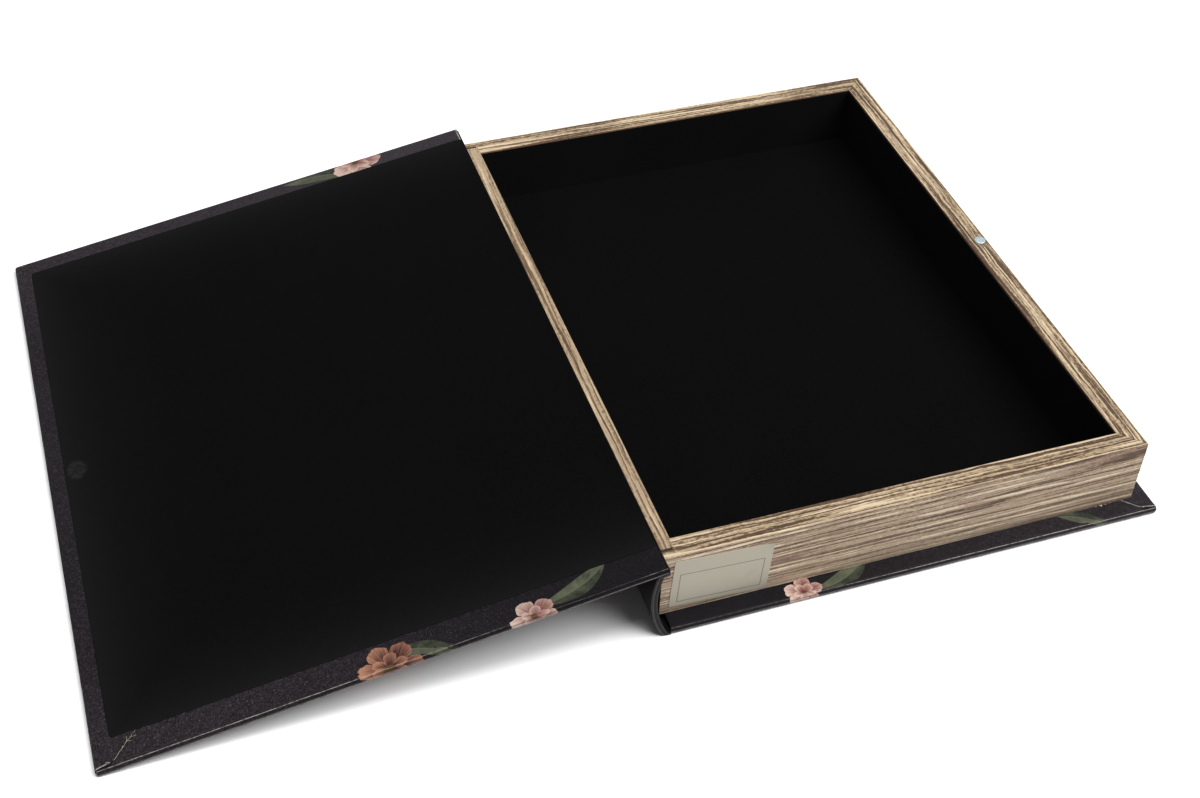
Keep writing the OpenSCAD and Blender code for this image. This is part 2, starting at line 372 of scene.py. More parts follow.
def closeGroup(paint, mask, tint):
    result = paint.tree.nodes.new("NodeGroupOutput").inputs
    paint.feed(result["mask"], mask)
    paint.feed(result["colour"], tint)
    return paint.tree


def blossomGroup(design):
    paint, given = motifGroup("blossom")
    across = given["gap"].split()
    angle = paint.math("ARCTAN2", across[1], across[0]) + given["turn"]
    length = paint.node("VectorMath", {0: given["gap"]}, "Value", operation="LENGTH")
    ripple = given["place"].noise(240, 3, 0.6) - 0.5
    radius = ripple * 0.34 + length * metre / given["size"]
    # light falls on it from one side, and brush strokes run out from the heart
    outward = paint.node("VectorMath", {0: given["gap"]}, operation="NORMALIZE").split()
    stroke = paint.node("CombineXYZ", {0: outward[0], 1: outward[1], 2: radius * 0.12})
    lit = (stroke.noise(9, 3, 0.6) - 0.5) * 1.1 + (outward[0] * -0.35 + outward[1] * 0.3) * radius
    half = angle * given["petals"] * 0.5
    lobes = abs(half.math("COSINE"))
    rim = lobes ** 0.45 * 0.42 + 0.58
    deep = paint.blend(given["tint"], design["roseDeep"], design["amberDeep"])
    pale = paint.blend(given["tint"], design["rosePale"], design["amberPale"])
    veins = (ripple * 9 + angle * 46).math("SINE")
    # outer petals, then a ring of inner ones set between them
    inner = abs(half.math("SINE")) ** 0.5 * 0.3 + 0.3
    innerPetal = paint.blend((lit + (radius / inner) ** 1.9).held(), deep, pale)
    petal = paint.over(
        deep,
        ((veins * 0.06 + (radius / rim) ** 2.2 + lit).held(), pale),
        (lobes.steps(0.0, 0.22, 0.8, 0.0), deep),
        ((inner - radius).steps(-0.01, 0.02), innerPetal),
        (radius.steps(0.1, 0.15, 1.0, 0.0), design["heart"]))
    return closeGroup(paint, (rim - radius).steps(0.0, 0.035), petal)


def leafGroup(design):
    paint, given = motifGroup("leaf")
    feeds = {"Vector": given["gap"], "Angle": given["turn"]}
    spin = paint.node("VectorRotate", feeds, rotation_type="Z_AXIS").split()
    along = spin[0] * metre / given["size"]
    curve = along * along
    bent = curve * 0.22 + spin[1] * metre / given["size"]
    side = abs(bent)
    wide = (1 - curve).held() * (along * 0.09 + 0.24)
    rib = side.steps(0.01, 0.035, 0.9, 0.0)
    veins = ((side * -1.3 + along) * 34).math("SINE").steps(0.3, 1.0, 0.0, 0.55)
    mottle = given["place"].noise(160, 3, 0.65) * 1.3 - 0.25
    light = (rib.larger(veins) * 0.7).larger(mottle)
    light = (light - bent.steps(-0.02, 0.02, 0.0, 0.3)).held()
    tint = paint.blend(light, design["leafDeep"], design["leafPale"])
    return closeGroup(paint, (wide - side).steps(0.0, 0.025), tint)


motifs = {"blossom": blossomGroup(printDesign), "leaf": leafGroup(printDesign)}


def laid(paint, kind, below, present, **values):
    # one motif over what is below it
    mask = paint.node("Group", values, "mask", node_tree=motifs[kind])
    return paint.blend(mask * present, below, mask.other("colour"))


def inFields(u, fade):
    # 1 inside the fields, falling to 0 over fade mm at their sides
    inside = 0.0
    for centre, halfWide in printDesign["fields"]:
        off = abs(u - centre * mm)
        inside = off.steps((halfWide - fade) * mm, halfWide * mm, 1.0, 0.0).larger(inside)
    return inside


def strewn(paint, place, kind, below, look):
    # a motif in some of the cells of a loose grid, where the cell's middle lies in a field
    moved = place.stretch((1, 1, 1), look["shift"])
    feeds = {"Vector": moved, "Scale": metre / look["every"], "Randomness": 0.55}
    cells = paint.node("TexVoronoi", feeds, "Position", voronoi_dimensions="2D")
    chance = cells.other("Color").split()
    middle = paint.gap(cells, look["shift"]).split()
    present = chance[0].math("LESS_THAN", look["share"]) * inFields(middle[0], 0.01)
    present = present * abs(middle[1]).math("LESS_THAN", printDesign["reach"] * mm)
    return laid(paint, kind, below, present, place=place, gap=paint.gap(moved, cells), size=look["size"],
                petals=look["petals"], turn=chance[2] * 6.28, tint=chance[1].steps(0.45, 0.55))


def groundPaintedLight(sides):
    # painted light level: 0 over the spine, 1 at the outer corners
    near, far = printDesign["groundFade"]
    away = abs(sides[0] - printDesign["fields"][1][0] * mm)
    return away.steps(near * mm, far * mm) * abs(sides[1]).steps(0.09, 0.135, 0.45, 1.0)


def headLight(sides):
    # 1 on the turn-in at the head by the front hinge, less towards the fore edge
    beyond = sides[1].steps((caseHalf + 1) * mm, (caseHalf + 2.5) * mm)
    return beyond * sides[0].steps(-0.2, -0.03, 0.1, 1.0)


def flowerPrint(paint, place):
    design = printDesign
    sides = place.split()
    # stems: the thin borders between far-apart cells, bent by noise
    bend = {0: place.noise(14, 1, output="Color"), 1: (design["stemBend"], design["stemBend"], 0), 2: place}
    bent = paint.node("VectorMath", bend, operation="MULTIPLY_ADD")
    web = paint.node("TexVoronoi", {"Vector": bent, "Scale": design["stemScale"]}, "Distance",
                     voronoi_dimensions="2D", feature="DISTANCE_TO_EDGE")
    stem = web.steps(0.008, 0.016, 1.0, 0.0) * place.noise(11, 0).steps(0.4, 0.46)
    stem = stem * abs(sides[1]).steps(*design["stemReach"], 1.0, 0.0) * inFields(sides[0], 8)
    green = paint.blend(place.noise(300, 2), design["leafDeep"], design["leafPale"])
    result = paint.over(design["ground"], (groundPaintedLight(sides), design["groundPaintedLight"]),
                        (headLight(sides), design["headTurnIn"]), (stem, green))
    for kind, look in (("leaf", "leaf"), ("blossom", "small"), ("blossom", "big")):
        result = strewn(paint, place, kind, result, design[look])
    for kind, u, v, size, petals, turn, tint in design["edgeMotifs"]:
        gap = paint.gap(place, (u * mm, v * mm, 0))
        result = laid(paint, kind, result, 1.0, place=place, gap=gap, size=size, petals=petals,
                      turn=turn, tint=tint)
    return result


def bookCloth(name, weave, printed=True):
    paint = newPaint(name)
    place = paint.sheet()
    sides = place.split()
    base = flowerPrint(paint, place) if printed else colour(22, 21, 23)
    # threads both ways, each a little uneven and broken by the next
    warp = place.stretch((2500, 400, 1)).noise(1, 2, 0.6)
    threads = warp.larger(place.stretch((400, 2500, 1), (9, 4, 0)).noise(1, 2, 0.6))
    pitch = 2 * math.pi * metre / weave["pitch"]
    wander = place.noise(500, 1) * 2.2
    crossing = (sides[0] * pitch + wander).math("SINE") * (sides[1] * pitch + wander).math("SINE")
    # painted light: away is 0 over the spine and rises towards the fore edges and the head by the hinge;
    away = groundPaintedLight(sides).larger(headLight(sides) * 0.7)
    # the pale threads and dust are painted stronger there
    paintedLightShare = away * 0.8 + 0.2
    lift = threads.steps(0.48, 0.74, 0.0, weave["contrast"])
    dust = place.noise(1300, 2, 0.75).steps(0.58, 0.72, 0.0, weave["flecks"])
    # pale rubbed line along the folds over the board's edges, partly painted highlight: stronger where the
    # ground is painted lighter, and where the mark passes 1.05, at the hinge ends and the spine's end arrises
    mark = paint.wearAndPaintedLight()
    dashes = place.noise(800, 3, 0.7).steps(0.36, 0.6, 0.25, 1.0)
    rubAndHighlightStrength = mark.steps(1.05, 1.25).larger(away.steps(0.0, 0.7, 0.15, 1.0))
    rubbed = mark.steps(0.6, 0.95) * dashes * rubAndHighlightStrength
    # painted sheen: grey on the rounding under the sides, for the floor's light reflected there; painted
    # shade: dark on the upper sides, along the corner seams, beside a corner fold and a little on the spine's
    # end faces
    paintedSheen = abs(mark - 0.42).steps(0.08, 0.28, weave["paintedSheenAmount"], 0.0)
    outside = abs(sides[1]).steps((caseHalf + 0.9) * mm, (caseHalf + 1.5) * mm, 1.0, 0.0)
    patches = place.noise(260, 3, 0.7).steps(0.3, 0.65, 0.45, 1.0)
    base = paint.over(
        base,
        (lift * paintedLightShare, colour(104, 92, 102)),
        (dust * paintedLightShare, colour(140, 134, 134)),
        (rubbed * weave["rubbed"], weave["rubTint"]),
        (paintedSheen * outside * patches, weave["paintedSheen"]),
        (mark.steps(-0.8, -0.2, 0.9, 0.0), colour(5, 5, 6)))
    gloss = place.noise(45, 2).steps(0.3, 0.7, weave["rough"] - 0.06, weave["rough"] + 0.08)
    return paint.finish(base, gloss, (crossing * 0.35 + threads, weave["depth"], 0.00012), weave["specular"])


canvasCloth = bookCloth("canvasCloth", {
    "pitch": 0.62, "contrast": 0.37, "flecks": 0.38, "rubbed": 0.82, "depth": 0.6, "rough": 0.6,
    "specular": 0.06, "rubTint": colour(186, 180, 170), "paintedSheen": colour(150, 146, 147), "paintedSheenAmount": 0.6})
smoothCloth = bookCloth("smoothCloth", {
    "pitch": 0.55, "contrast": 0.26, "flecks": 0.16, "rubbed": 0.9, "depth": 0.35, "rough": 0.5,
    "specular": 0.1, "rubTint": colour(184, 176, 172), "paintedSheen": colour(136, 132, 131), "paintedSheenAmount": 0.65})
jointCloth = bookCloth("jointCloth", {
    "pitch": 0.5, "contrast": 0.2, "flecks": 0.08, "rubbed": 0.4, "depth": 0.3, "rough": 0.5,
    "specular": 0.12, "rubTint": colour(150, 146, 140), "paintedSheen": colour(90, 88, 88), "paintedSheenAmount": 0.4},
    printed=False)


def blackVelvet(name, shade):
    # flocked paper: nearly no shine, short fibres that catch a little light
    paint = newPaint(name)
    place = paint.solid()
    fibres = place.noise(2600, 2, 0.7)
    base = paint.over(
        shade["deep"],
        (fibres.steps(0.35, 0.7), shade["light"]),
        (place.noise(22, 2).steps(0.35, 0.7, 0.0, 0.35), shade["light"]),
        (place.noise(800, 1).steps(0.4, 0.66, 0.0, 0.6), shade["light"]),
        (place.noise(1000, 2, 0.8).steps(0.8, 0.84, 0.0, 0.5), colour(96, 94, 90)))
    if "edge" in shade:
        # the pile is paler along the sheet's cut edges, and rubbed where the tray's magnet meets it
        mark = paint.wearAndPaintedLight()
        base = paint.over(base, (mark * fibres.steps(0.2, 0.7, 0.5, 1.0), shade["edge"]),
                          (mark.steps(1.0, 2.8, 0.0, 0.5), shade["rubbed"]))
    return paint.finish(base, 0.95, (fibres, 0.5, 0.0002), 0.03)


velvetBlack = blackVelvet("velvetBlack", {"deep": colour(5, 5, 6), "light": colour(12, 12, 12)})
# a lighter copy of the black velvet for the tray's walls: painted light, as the upright walls get less light
wallVelvetPaintedLighter = blackVelvet("wallVelvetPaintedLighter", {"deep": colour(15, 15, 16), "light": colour(27, 27, 27)})
coverVelvet = blackVelvet("coverVelvet", {"deep": colour(5, 5, 6), "light": colour(12, 12, 12),
                                          "edge": colour(27, 27, 27), "rubbed": colour(50, 50, 50)})
linerBlack = blackVelvet("linerBlack", {"deep": colour(10, 10, 11), "light": colour(20, 19, 20)})


def pageEdges():
    # printed picture of stacked page edges: u runs along the wall, v from the foot up, then over the rim
    look = {
        "dark": colour(78, 60, 46), "brown": colour(138, 114, 92), "taupe": colour(180, 158, 135),
        "pale": colour(236, 218, 190), "topDark": colour(76, 58, 42), "topBrown": colour(128, 104, 79),
        "topCream": colour(182, 160, 131), "topPale": colour(226, 204, 170), "rust": colour(104, 60, 42),
        "pink": colour(160, 126, 112), "slot": colour(36, 26, 20),
        "wallHeight": 30.9, "sheetPitch": 1.9, "ply": 0.7, "lineWide": 0.13, "finePitch": 1.5,
        "bandPitch": 3.4, "gapPitch": 1.2, "rustFrom": (39.75, 40.1), "calmFrom": (0.68, 0.7),
    }
    paint = newPaint("pageEdgePaper")
    place = paint.sheet()
    sides = place.split()
    height = sides[1] * metre
    onTop = height.steps(look["wallHeight"] - 0.05, look["wallHeight"] + 0.05)

    def grainy(sizes, detail, roughness=0.5, offset=(0, 0, 0)):
        return place.stretch(sizes, offset).noise(1, detail, roughness)

    # the lines waver slowly, more on the rim
    quick = grainy((90, 300, 1), 2, offset=(4, 8, 0)) - 0.5
    sway = quick * (onTop * 0.25 + 0.12) + (grainy((26, 70, 1), 3, 0.55) - 0.5)
    bent = sway * (onTop * 0.0012 + 0.0013) + sides[1]

    def lines(pitch, along, shift):
        spot = paint.node("CombineXYZ", {0: sides[0] * along + shift, 1: bent * (metre / pitch) + shift})
        return spot.noise(1, 0.0, 0.6)

    # each sheet's edge: a pale line with a dark one beside it, from two readings a ply apart
    pitch = look["sheetPitch"]
    pale, dark = [abs(lines(pitch, 7, shift) - 0.5).steps(0.0, look["lineWide"], 1.0, 0.0)
                  for shift in (0.0, look["ply"] / pitch)]
    fine = lines(look["finePitch"], 26, 5.0)
    relief = (fine - 0.5) * 0.7 + (pale - dark) * 0.42
    # lines come and go along the stack, over broad bands of lighter and darker sheets
    relief = relief * grainy((60, 420, 1), 1, offset=(2, 6, 0)).steps(0.3, 0.7, 0.5, 1.3)
    relief = relief + (lines(look["bandPitch"], 11, 9.0) * 0.24 + 0.35)
    speckle = grainy((300, 760, 1), 1) - 0.5
    relief = (grainy((620, 1500, 1), 2, 0.7) - 0.5) * 0.75 + (speckle * 0.36 + relief)
    # the strip along the spine is printed more evenly
    calm = sides[0].steps(*look["calmFrom"], 1.0, 0.45)
    rimRelief = speckle * 0.2 + (relief * 1.15 - 0.1)
    rimRelief = (rimRelief - 0.44) * calm + 0.44
    wall = relief.ramp([(0.12, look["dark"]), (0.34, look["brown"]), (0.5, look["taupe"]),
                        (0.66, look["taupe"]), (0.9, look["pale"])])
    blotch = grainy((28, 160, 1), 3, 0.6, (5, 2, 0))
    top = rimRelief.ramp([(0.14, look["topDark"]), (0.36, look["topBrown"]), (0.48, look["topCream"]),
                          (0.62, look["topCream"]), (0.82, look["topPale"])])
    # short dark gaps between the sheets on the rim
    gaps = lines(look["gapPitch"], 36, 3.0).steps(0.64, 0.72, 0.0, 0.6) * calm
    rim = abs(height - (look["wallHeight"] + 0.12))
    base = paint.over(
        wall,
        (blotch.steps(0.5, 0.72, 0.0, 0.45), look["pink"]),
        # painted light: the wall is paler towards its foot
        (height.steps(0.0, 24.0, 0.16, 0.0), look["pale"]),
        (onTop, paint.blend(gaps, top, look["topDark"])),
        (rim.steps(0.08, 0.26, 0.7, 0.0), look["topPale"]),
        (height.steps(*look["rustFrom"]), look["rust"]),
        # painted shade: the slot where the spine strip's end lies is dark
        (paint.wearAndPaintedLight().steps(0.3, 0.7), look["slot"]))
    return paint.finish(base, fine.steps(0.3, 0.7, 0.5, 0.68), (relief, 0.2, 0.0002), 0.3)


pagePaper = pageEdges()


def fibrePanel(name, pale, dark, size):
    paint = newPaint(name)
    flecks = paint.solid().noise(size, 4, 0.7)
    base = paint.blend(flecks.steps(0.35, 0.65), dark, pale)
    return paint.finish(base, 0.85, (flecks, 0.4, 0.0002), 0.2)


greyBoard = fibrePanel("greyBoard", colour(168, 162, 152), colour(132, 126, 118), 900)
woodFibre = fibrePanel("woodFibre", colour(186, 156, 118), colour(142, 112, 78), 1300)


def nickelDisc():
    paint = newPaint("nickelPlate")
    smear = paint.solid().noise(1400, 3, 0.6)
    base = paint.blend(smear.steps(0.4, 0.65), colour(166, 180, 188), colour(190, 203, 209))
    return paint.finish(base, smear.steps(0.3, 0.7, 0.34, 0.5), (smear, 0.15, 0.0001), metallic=1.0)


def labelStock():
    # blank sticker with a thin empty frame
    box = {"halfWide": 17.0, "halfTall": 7.4, "middle": -2.6, "line": (0.12, 0.24)}
    paint = newPaint("labelStock")
    place = paint.sheet()
    sides = place.split()
    pulp = place.noise(900, 3, 0.6)
    across, up = abs(sides[0] * metre), abs(sides[1] * metre - box["middle"])
    out = abs((across - box["halfWide"]).larger(up - box["halfTall"]))
    base = paint.over(
        colour(193, 186, 169),
        (pulp, colour(182, 175, 158)),
        (out.steps(*box["line"], 0.75, 0.0), colour(84, 82, 80)),
        (place.noise(120, 3).steps(0.55, 0.8, 0.0, 0.12), colour(120, 114, 104)))
    return paint.finish(base, 0.52, (pulp, 0.15, 0.0001), 0.4)


def plainThread():
    paint = newPaint("paleThread")
    fuzz = paint.solid().noise(4000, 2)
    base = paint.blend(fuzz, colour(172, 164, 128), colour(212, 206, 186))
    return paint.finish(base, 0.8, (fuzz, 0.3, 0.0001), 0.2)


nickelPlate = nickelDisc()
labelPaper = labelStock()
paleThread = plainThread()
print("materials made")


# Covered boards

wrapLook = {
    "edge": 1.2, "corner": 1.3, "faceInset": 8,
    # how unevenly the cloth lies: depth, and mm from one swell to the next
    "ripple": (0.05, 13), "bulge": (0.06, 9),
    # it sinks beside the folded corner, painted darker there as shade, and bends down at the hinge end, where
    # its edge is rubbed most and the head end gets a painted highlight
    "sinkFrom": 5.6, "sinkFade": 1.6, "bendFrom": 1.5, "tipFrom": 11, "tipFade": 4,
    # how much the line along the edge shows on each side
    "rubbedSide": {"tail": 1.0, "head": 0.8, "fore": 0, "hinge": 0},
}
# hingeRound is how far the edge rounds over at the hinge, sheetStart and sheetWay place the board on the
# unfolded sheet, and seamFrom is how far from the fore edge the corner's seam is rubbed; the hinge mark is a
# pale painted highlight at the head's hinge end, and a side mark near 0.42 gives the sides a painted sheen
backLook = {
    "width": 210.0, "hingeRound": 0.12, "seed": 2.0, "sheetStart": 56.0, "sheetWay": 1, "hingeBend": 0.1,
    "hingePaintedHighlight": 0, "seamFrom": 40, "hingeTip": 0.16, "sidePaintedSheen": 0.42,
    "put": lambda x, y, z: (-105.0 + x, y, z),
}
frontLook = {
    "width": frontWidth, "hingeRound": 1.1, "seed": 7.0, "sheetStart": 0.0, "sheetWay": -1, "hingeBend": 0.35,
    "hingePaintedHighlight": 1.15, "seamFrom": 4, "hingeTip": 0.25, "sidePaintedSheen": -0.1,
    "put": lambda x, y, z: (hingeEdge + x, y, shutFace - z),
}


def wrapProfile(look):
    # rings from the end of the turn-in, round the edge, to the outer face; then those back inside the cloth:
    # inset from the outline, height above the outer face, place on the hinge side, unfolded distance, mark
    thick, radius, hingeRound, flat = coverThick, wrapLook["edge"], look["hingeRound"], wrapLook["faceInset"]
    quarter = math.pi / 2
    faceRun = thick + (math.pi - 3) * radius
    outer = [(inset, thick, 0.16 + 0.14 * inset / turnIn, faceRun + inset, 0)
             for inset in (turnIn, 12, 9, 7, 5, 3.6, 2.4, 1.7)]
    # mark 1 is the rubbed line on the top arris; the marks below 0 paint shade down the upper side
    for step, mark in enumerate((0, 0, 1, 0.3, -0.5, -0.5)):
        angle = step / 5 * quarter
        outer.append((radius - radius * math.sin(angle), thick - radius + radius * math.cos(angle),
                      0.16 - 0.16 * math.sin(angle), faceRun - radius * angle, mark))
    # the middle of the side takes the board's side mark, a painted sheen on the back board
    outer.append((0, thick / 2, 0, thick / 2 + radius * (quarter - 2), look["sidePaintedSheen"]))
    # mark 0.45 paints a sheen on the rounding under the side, for the floor's light reflected there
    for step, mark in enumerate((0.45, 0.45, 0.45, 0.45, 0, 0)):
        angle = step / 5 * quarter
        outer.append((radius - radius * math.cos(angle), radius - radius * math.sin(angle),
                      hingeRound - hingeRound * math.cos(angle), radius * (quarter - angle - 1), mark))
    outer += [(inset, 0, hingeRound + 0.25 * inset, -inset, 0) for inset in (1.8, 3, 5, flat)]
    inner = [(flat, clothThick, hingeRound + 2, -flat, 0), (radius, clothThick, hingeRound, -radius, 0)]
    bore = radius - clothThick
    for step in (1, 2, 3):
        angle = step / 3 * quarter
        inner.append((radius - bore * math.sin(angle), radius - bore * math.cos(angle),
                      clothThick + 0.05 + (hingeRound - clothThick) * (1 - step / 3), -radius, 0))
    for step in (0, 1, 2, 3):
        angle = step / 3 * quarter
        inner.append((radius - bore * math.cos(angle), thick - radius + bore * math.sin(angle),
                      clothThick + 0.05 - 0.01 * step, radius, 0))
    inner.append((turnIn, thick - clothThick, clothThick + 0.01, faceRun + turnIn, 0))
    return outer, inner


def spread(length):
    # stations from 0 to length, close together near both ends
    near = [0.0, 0.25, 0.6, 1.2, 2.2, 3.6, 5.4, 7.6, 10.2, 13.4, 17.0]
    first, last = near[-1], length - near[-1]
    count = max(1, round((last - first) / 6))
    middle = [first + (last - first) * i / count for i in range(1, count)]
    return near + middle + [length - s for s in reversed(near)]


def coveredBoard(name, look):
    width, corner, radius, seed = look["width"], wrapLook["corner"], wrapLook["edge"], look["seed"]
    alongX, alongY = spread(width - corner), spread(2 * (caseHalf - corner))

    def stations(inset, hingeAt):
        bend = max(corner - inset, 0)
        right, top = width - inset - bend, caseHalf - inset - bend
        xs = [hingeAt + (right - hingeAt) * s / alongX[-1] for s in alongX]
        return bend, xs, [2 * top * s / alongY[-1] - top for s in alongY]

    def outline(inset, hingeAt):
        # a ring's points, each with its side of the board
        bend, xs, ys = stations(inset, hingeAt)

        def arc(way, before, after):
            # round the outer corner at the tail (way -1) or the head (way 1)
            spots = []
            for share, side in ((0.25, before), (0.5, after), (0.75, after)):
                angle = (share - (way < 0)) * math.pi / 2
                spots.append((xs[-1] + bend * math.cos(angle), way * ys[-1] + bend * math.sin(angle), side))
            return spots

        tail = [(x, -ys[-1] - bend, "tail") for x in xs] + arc(-1, "tail", "fore")
        fore = [(xs[-1] + bend, y, "fore") for y in ys] + arc(1, "fore", "head")
        head = [(x, ys[-1] + bend, "head") for x in reversed(xs)]
        return tail + fore + head + [(hingeAt, y, "hinge") for y in reversed(ys[1:-1])]

    def unfold(side, x, y, run):
        if side in ("tail", "head"):
            y = (caseHalf + run) * (1 if side == "head" else -1)
        elif side == "fore":
            x = width + run
        elif run >= -radius:
            x = -run
        return look["sheetStart"] + look["sheetWay"] * x, y

    outer, inner = wrapProfile(look)
    rings = outer + inner
    points, wearAndPaintedLight = [], []
    for number, (inset, height, hingeAt, run, mark) in enumerate(rings):
        onCloth, upper = number < len(outer), height > coverThick / 2
        for x, y, side in outline(inset, hingeAt):
            lift = push = 0
            alongEnd = side in ("tail", "head")
            # rubbed holds the ring's mark: the rubbed line, painted highlight above 1.05, painted sheen near
            # 0.42 and painted shade below 0
            rubbed = mark * wrapLook["rubbedSide"][side] if mark > 0 else mark
            if side == "tail" and mark > 0 and upper:
                rubbed *= 1 + look["hingeTip"] * ease((wrapLook["tipFrom"] - x) / wrapLook["tipFade"])
            # the turned-in cloth sinks beside the folded corner, and is painted darker there as shade
            sink = (1 - ease((width - x - wrapLook["sinkFrom"]) / wrapLook["sinkFade"])) * alongEnd * upper
            if onCloth and 0.7 < inset < 2.5:
                rubbed -= sink
            if onCloth and height > coverThick - 0.05 and inset > 0.5:
                lift = wrapLook["ripple"][0] * rough(x, y, wrapLook["ripple"][1], seed)
                if 1.5 < inset < 2.5:
                    lift -= 0.5 * (2.5 - inset) * sink
                if alongEnd and x < wrapLook["bendFrom"]:
                    # it bends down at the hinge end, and at the head it gets a pale painted highlight there
                    lift -= look["hingeBend"] * (1 - x / wrapLook["bendFrom"]) ** 2
                    pale = look["hingePaintedHighlight"] * ease(wrapLook["bendFrom"] - x)
                    rubbed = max(rubbed, pale * (side == "head"))
            if onCloth and inset < 0.9:
                push = wrapLook["bulge"][0] * rough(x, y, wrapLook["bulge"][1], seed + height)
            wayX, wayY = {"fore": (1, 0), "tail": (0, -1), "head": (0, 1), "hinge": (0, 0)}[side]
            points.append((x + push * wayX, y + push * wayY, height + lift))
            wearAndPaintedLight.append(rubbed)
    # the last ring meets the first
    sides = [side for x, y, side in outline(turnIn, 0)]
    count, total = len(sides), len(points)
    faces = [tuple(corner % total for corner in face) for face in bands(count, len(rings) + 1)]
    sheet = []
    for face in faces:
        first, second = sides[face[0] % count], sides[face[1] % count]
        side = first if first == "hinge" else second
        sheet += [unfold(side, *points[c][:2], rings[c // count][3]) for c in face]
    # and a grid fills each side of the outer sheet
    for height in (0, clothThick):
        xs, ys = stations(wrapLook["faceInset"], look["hingeRound"] + 2)[1:]
        cells = grid(len(xs), len(ys), len(points))
        points += [(x, y, height) for x in xs for y in ys]
        faces += cells
        sheet += [unfold("hinge", *points[c][:2], -width) for face in cells for c in face]
    wearAndPaintedLight += [0] * (len(points) - total)
    return makePiece(name, [look["put"](*point) for point in points], faces, sheet, wearAndPaintedLight)


# Folded corners of the turn-ins. The seam is given as insets from the fore edge and the tail or head edge
foldedCorner = {
    "seam": [(17.4, 12.6), (7.2, 2.15), (0.3, 1.0)], "samples": 34, "thick": 0.3, "below": 0.16,
    "rise": [(0, -0.08), (0.03, 0.35), (0.1, 0.72), (0.25, 0.95), (0.6, 1.0), (1.4, 0.98), (3, 0.9),
             (6, 0.72), (10, 0.45), (15, 0.2), (22, -0.12)],
    # it lies flat where the lining dips over it
    "liningFrom": 12.6, "liningFade": 3,
}


def alongSeam(seam, samples):
    # even places along a bent line, its bend rounded a little
    lengths = [math.dist(seam[i], seam[i + 1]) for i in range(len(seam) - 1)]
    places = []
    for i in range(samples + 1):
        left = sum(lengths) * i / samples
        part = 0
        while part < len(lengths) - 1 and left > lengths[part]:
            left -= lengths[part]
            part += 1
        places.append(Vector(seam[part]).lerp(Vector(seam[part + 1]), left / lengths[part]))
    for turn in range(2):
        places[1:-1] = [(places[i - 1] + places[i] * 2 + places[i + 1]) / 4 for i in range(1, samples)]
    return places


def cornerFold(name, look, side):
    fold, radius = foldedCorner, wrapLook["edge"]
    line = alongSeam(fold["seam"], fold["samples"])
    top, low, sheet, wearAndPaintedLight = [], [], [], []
    for place in line:
        for away, share in fold["rise"]:
            a, b = place.x, place.y + away
            inset = min(a, b)
            face = coverThick
            if inset < radius:
                face += math.sqrt(radius ** 2 - (radius - inset) ** 2) - radius
            height = fold["thick"] * share * max(ease(a / 1.4), 0.75 * max(0, 1 - away / 3))
            height += 0.03 * rough(a * 3, b * 3, 5, look["seed"]) * (away > 0.5)
            height *= 1 - 0.9 * ease((inset - fold["liningFrom"]) / fold["liningFade"])
            x, y = look["width"] - a, side * (caseHalf - b)
            top.append(look["put"](x, y, face + height))
            low.append(look["put"](x, y, face - fold["below"]))
            sheet.append((look["sheetStart"] + look["sheetWay"] * (look["width"] + 3 + a), y))
            # painted shade: the seam line itself is marked dark; beside it a pale rubbed line from seamFrom
            # on
            wearAndPaintedLight.append(-1 if away == 0 else 0.95 * (away < 0.3) * (1 - ease((a - look["seamFrom"]) / 3)))
    faces = slab(len(line), len(fold["rise"]))
    return makePiece(name, top + low, faces, sheet * 2, wearAndPaintedLight + [0] * len(low), sharpAbove=70)


for look, cloth, body, node in ((backLook, smoothCloth, "case", "back_cloth"),
                                (frontLook, canvasCloth, "front_cover", "front_cloth")):
    finishPiece(coveredBoard(node.replace("cloth", "cover_cloth"), look), cloth, body, "book_cloth", node)
for side, end in ((-1, "_tail_corner_fold"), (1, "_head_corner_fold")):
    finishPiece(cornerFold("back" + end, backLook, side), smoothCloth, "case", "book_cloth")
    finishPiece(cornerFold("front" + end, frontLook, side), canvasCloth, "front_cover", "book_cloth")

# Frayed thread on the front cover's tail corner: insets from its fore and tail edges, height over the board
frayed = {
    "radius": 0.055, "sides": 6, "steps": 6,
    "strands": [
        [(7.3, 2.4, 0.25), (8.6, 3.6, 0.34), (9.8, 5.1, 0.3), (11.2, 6.4, 0.36), (12.4, 8.0, 0.3),
         (13.9, 9.2, 0.38), (15.1, 10.7, 0.34), (16.4, 11.7, 0.4)],
        [(12.4, 8.0, 0.32), (12.9, 9.0, 0.42), (13.0, 9.9, 0.4), (12.8, 10.6, 0.44)],
        [(14.3, 9.7, 0.34), (15.6, 9.4, 0.46), (16.4, 9.8, 0.4)], [(11.0, 6.2, 0.3), (11.1, 7.2, 0.44)],
        [(5.9, 1.9, 0.24), (4.9, 2.5, 0.4), (4.4, 2.3, 0.34)], [(13.0, 8.4, 0.3), (14.4, 7.9, 0.38)]],
}


